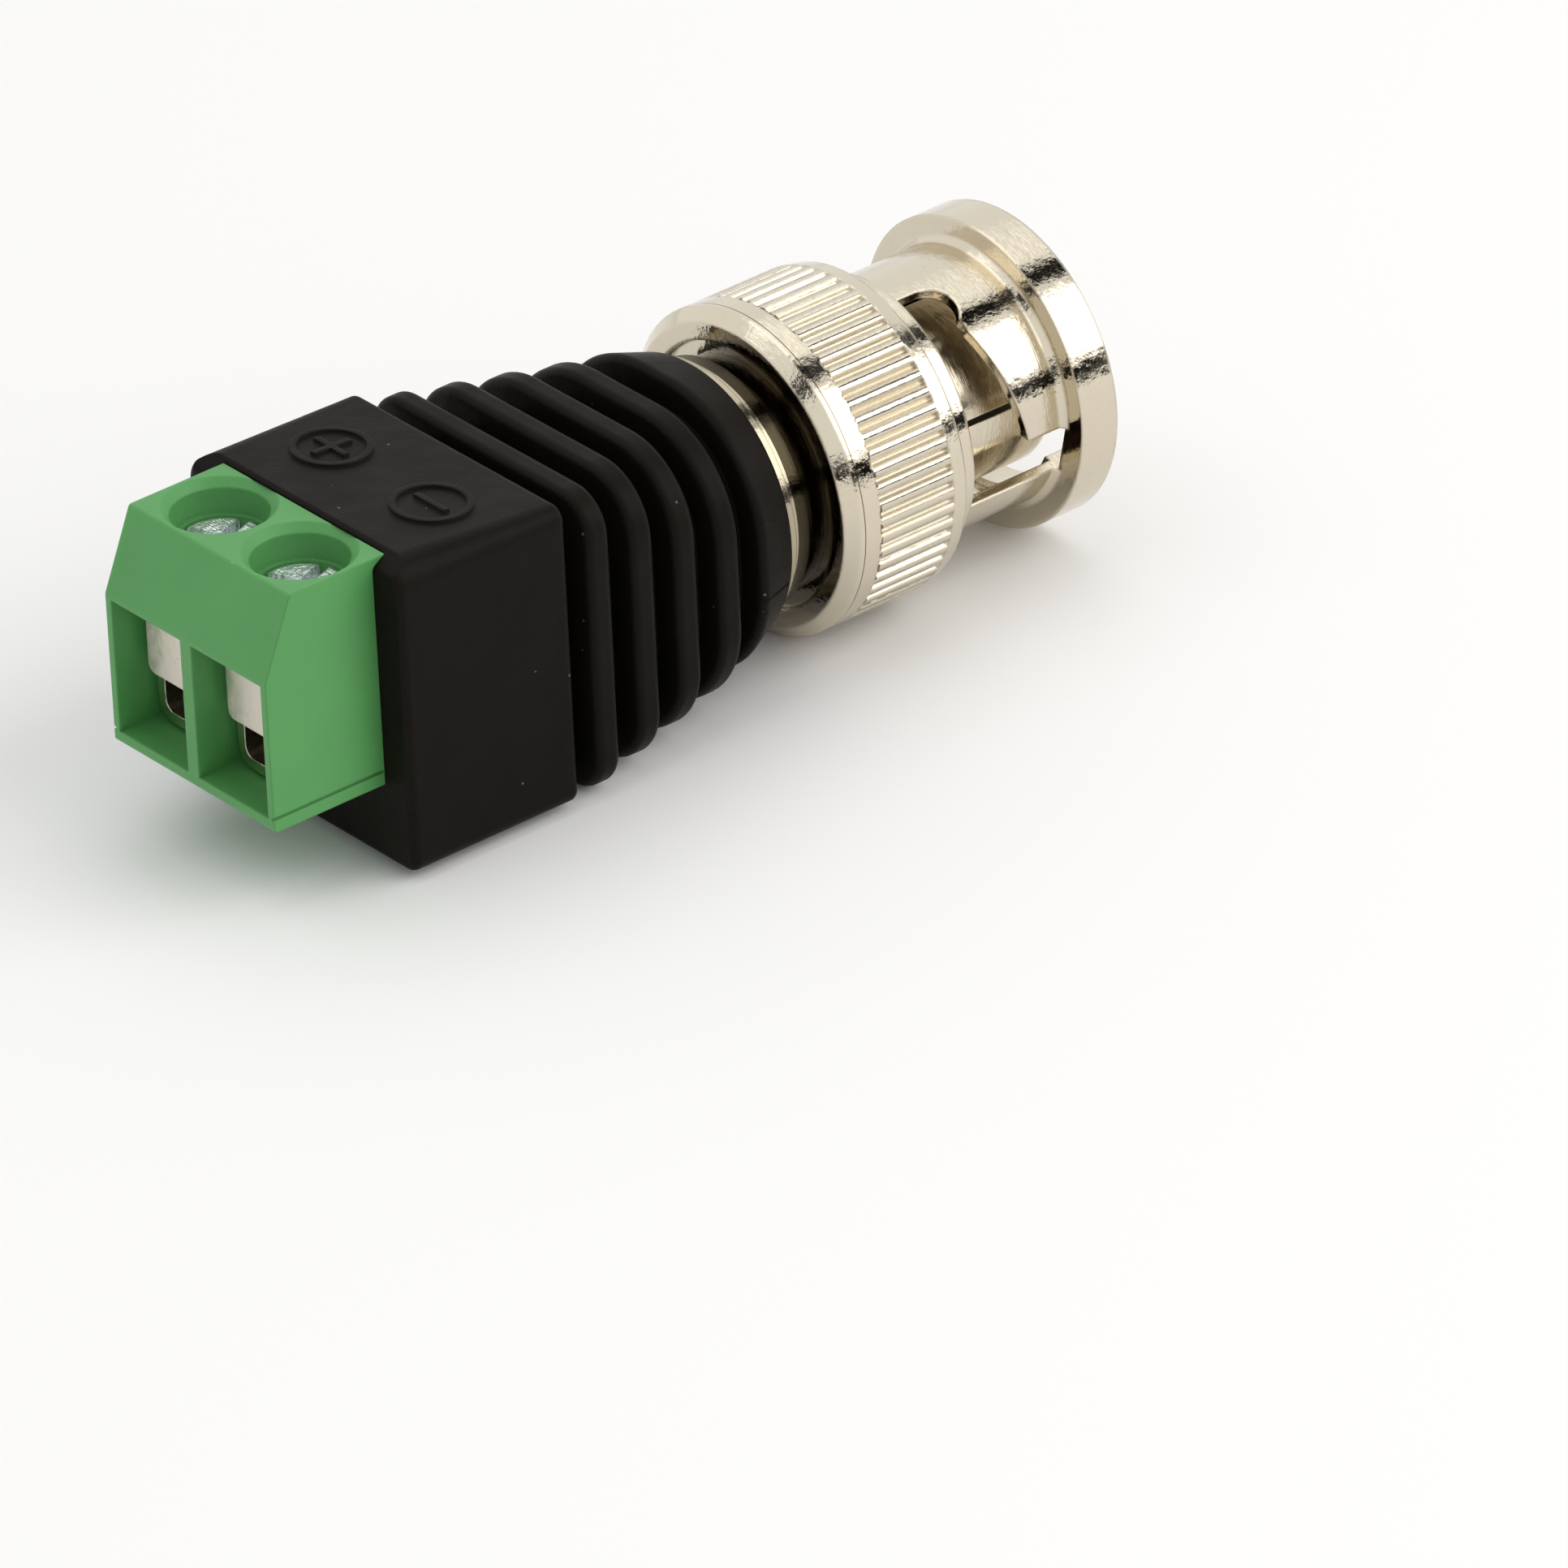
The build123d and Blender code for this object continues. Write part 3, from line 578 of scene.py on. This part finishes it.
def skin_over(shape, rings):
    """Faces from each ring of corners to the next, with a cap at each end."""
    count = len(rings[0])
    for a, b in zip(rings, rings[1:]):
        for i in range(count):
            shape.faces.new((a[i], a[(i + 1) % count], b[(i + 1) % count], b[i]))
    shape.faces.new(rings[0])
    shape.faces.new(rings[-1][::-1])


def flash_ridge(shape, points, outward):
    """Low three-sided ridge of flash along points, standing out from the skin."""
    rings = []
    for i, point in enumerate(points):
        ahead = points[min(i + 1, len(points) - 1)] - points[max(i - 1, 0)]
        side = ahead.normalized().cross(outward) * FLASH_WIDTH / 2
        end = FLASH_END if i in (0, len(points) - 1) else 1.0
        root = outward * FLASH_ROOT
        corners = (point - side - root, point + outward * FLASH_HEIGHT * end, point + side - root)
        rings.append([shape.verts.new(c) for c in corners])
    skin_over(shape, rings)


def collar_points(side):
    """Points on the skin of the boot's collar at the mould's parting level, on one side of it."""
    points = []
    for i in range(PARTING_STEPS + 1):
        x = COLLAR_FRONT + (COLLAR_REAR - COLLAR_FRONT) * i / PARTING_STEPS
        start = Vector((x, side * BESIDE_BOOT, PARTING_LEVEL)) * MM
        found, place, _, _ = nodes["boot"].ray_cast(start, Vector((0.0, -side, 0.0)))
        if found:
            points.append(place / MM)
    return points


def parting_line(name, side):
    """Flash left where the boot's mould closed, over its collar."""
    points = collar_points(side)
    outward = Vector((0.0, side, 0.0))
    mesh_piece(name, lambda shape: flash_ridge(shape, points, outward), "adapter", "boot_pvc")


def sprung_wave(shape):
    """Split ring of flat strip bent into waves, between the nut's web and the thrust washer."""
    low, high = (Vector(corner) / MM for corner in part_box("wave_spring"))
    outer = high.y
    inner = outer - SPRING_WIDTH
    middle = (low.x + high.x) / 2
    swing = (high.x - low.x - SPRING_THICKNESS) / 2 - SPRING_CLEARANCE
    rings = []
    for i in range(SPRING_STEPS + 1):
        angle = math.radians(SPRING_SLIT / 2 + (360.0 - SPRING_SLIT) * i / SPRING_STEPS)
        x = middle + swing * math.cos(SPRING_WAVES * angle)
        ring = []
        for radius, side in ((inner, -1), (outer, -1), (outer, 1), (inner, 1)):
            place = (x + side * SPRING_THICKNESS / 2, radius * math.cos(angle), radius * math.sin(angle))
            ring.append(shape.verts.new(place))
        rings.append(ring)
    skin_over(shape, rings)


def wave_spring():
    """Waved spring in place of the plain ring, riding on the spring pack."""
    spring = mesh_piece("sprung_wave", sprung_wave, "spring_pack", "spring_bronze")
    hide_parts("wave_spring")
    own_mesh(spring)


# Lamps, floor and camera

def matt_surface(name, colour, roughness, gloss):
    """Plain material for what stands round the object."""
    material = bpy.data.materials.new(name)
    material.use_nodes = True
    shader = material.node_tree.nodes["Principled BSDF"]
    shader.inputs["Base Color"].default_value = (*colour, 1.0)
    shader.inputs["Roughness"].default_value = roughness
    shader.inputs["Specular IOR Level"].default_value = gloss
    return material


def floor():
    """Wide pale floor under the lowest point of the solids."""
    lowest = cad_box[0][2]
    corners = [(FLOOR_REACH * x, FLOOR_REACH * y, lowest) for x, y in ((-1, -1), (1, -1), (1, 1), (-1, 1))]
    mesh = bpy.data.meshes.new("floor")
    mesh.from_pydata(corners, [], [(0, 1, 2, 3)])
    mesh.materials.append(matt_surface("pale_floor", FLOOR_WHITE, roughness=0.9, gloss=0.1))
    put_in_scene("floor", mesh)


def flag(name, angle, spread, seed):
    """Dark ragged strip along the plug that only reflections show, at an angle above the near side."""
    ragged = random.Random(seed)
    a = math.radians(angle)
    out = Vector((0.0, -math.cos(a), math.sin(a)))
    across = Vector((0.0, math.sin(a), math.cos(a)))
    half = FLAG_DISTANCE * math.tan(math.radians(spread / 2))
    corners = []
    for i in range(FLAG_STEPS + 1):
        start = out * FLAG_DISTANCE + Vector((FLAG_REACH * (2 * i / FLAG_STEPS - 1), 0.0, 0.0))
        corners += [start + across * half * u * ragged.uniform(*FLAG_RAGGED) for u in (-1, 1)]
    faces = [(2 * i, 2 * i + 1, 2 * i + 3, 2 * i + 2) for i in range(FLAG_STEPS)]
    mesh = bpy.data.meshes.new(name)
    mesh.from_pydata(corners, [], faces)
    mesh.materials.append(matt_surface("black_flag", FLAG_BLACK, roughness=1.0, gloss=0.0))
    piece = put_in_scene(name, mesh)
    piece.visible_camera = False
    piece.visible_diffuse = False
    piece.visible_shadow = False


def softbox(name, place, size, watts):
    """Area lamp at a place, facing the middle of the object."""
    lamp = bpy.data.lights.new(name, "AREA")
    lamp.shape = "RECTANGLE"
    lamp.size, lamp.size_y = size
    lamp.energy = watts
    lamp.color = LAMP_WHITE
    piece = put_in_scene(name, lamp)
    piece.location = Vector(place)
    piece.rotation_euler = (LAMP_TARGET - piece.location).to_track_quat("-Z", "Z").to_euler()


def background(tree, strength):
    """White background of a strength."""
    node = tree.nodes.new("ShaderNodeBackground")
    node.inputs["Color"].default_value = (1.0, 1.0, 1.0, 1.0)
    node.inputs["Strength"].default_value = strength
    return node.outputs[0]


def surroundings():
    """Pale surroundings: white to the camera and in reflections, softer as light on matt surfaces."""
    world = bpy.data.worlds.new("pale_surroundings")
    bpy.context.scene.world = world
    world.use_nodes = True
    tree = world.node_tree
    tree.nodes.clear()
    out = tree.nodes.new("ShaderNodeOutputWorld")
    path = tree.nodes.new("ShaderNodeLightPath")
    seen = math_node(tree, "MAXIMUM", path.outputs["Is Camera Ray"], path.outputs["Is Transmission Ray"])
    seen = math_node(tree, "MAXIMUM", seen, path.outputs["Is Glossy Ray"])
    mix = tree.nodes.new("ShaderNodeMixShader")
    tree.links.new(seen, mix.inputs[0])
    tree.links.new(background(tree, SOFT_STRENGTH), mix.inputs[1])
    tree.links.new(background(tree, WHITE_STRENGTH), mix.inputs[2])
    tree.links.new(mix.outputs[0], out.inputs["Surface"])


def camera():
    """Camera at the photograph's angle, with the sighted point on its pixel."""
    azimuth = math.radians(CAMERA_AZIMUTH)
    elevation = math.radians(CAMERA_ELEVATION)
    roll = math.radians(CAMERA_ROLL)
    flat = math.cos(elevation)
    level = Vector((math.cos(azimuth), math.sin(azimuth), 0.0))
    back = Vector((math.sin(azimuth) * flat, -math.cos(azimuth) * flat, math.sin(elevation)))
    lift = back.cross(level)
    right = math.cos(roll) * level + math.sin(roll) * lift
    up = math.cos(roll) * lift - math.sin(roll) * level
    aside = (SIGHTED_COLUMN - PHOTO_MIDDLE) / PIXELS_PER_MM
    above = (PHOTO_MIDDLE - SIGHTED_ROW) / PIXELS_PER_MM
    sighted = Vector((aside, above, -CAMERA_DEPTH))
    place = SIGHTED_POINT - (right * sighted.x + up * sighted.y + back * sighted.z)
    lens = bpy.data.cameras.new("photo_view")
    lens.sensor_width = CAMERA_SENSOR
    lens.lens = PIXELS_PER_MM * CAMERA_DEPTH / (2 * PHOTO_MIDDLE) * lens.sensor_width
    piece = put_in_scene("photo_view", lens)
    turn = Matrix((right, up, back)).transposed().to_4x4()
    piece.matrix_world = Matrix.Translation(place * MM) @ turn
    bpy.context.scene.camera = piece


wave_spring()
parting_line("near_parting_line", -1.0)
parting_line("far_parting_line", 1.0)
floor()
flag("upper_flag", angle=80.0, spread=15.0, seed=3)
flag("lower_flag", angle=5.0, spread=14.0, seed=8)
softbox("key_box", place=(0.26, -0.34, 0.30), size=(0.7, 0.36), watts=1.5)
softbox("top_box", place=(-0.05, 0.15, 0.6), size=(0.9, 0.6), watts=1.2)
surroundings()
camera()
bpy.context.scene.view_settings.view_transform = "Standard"
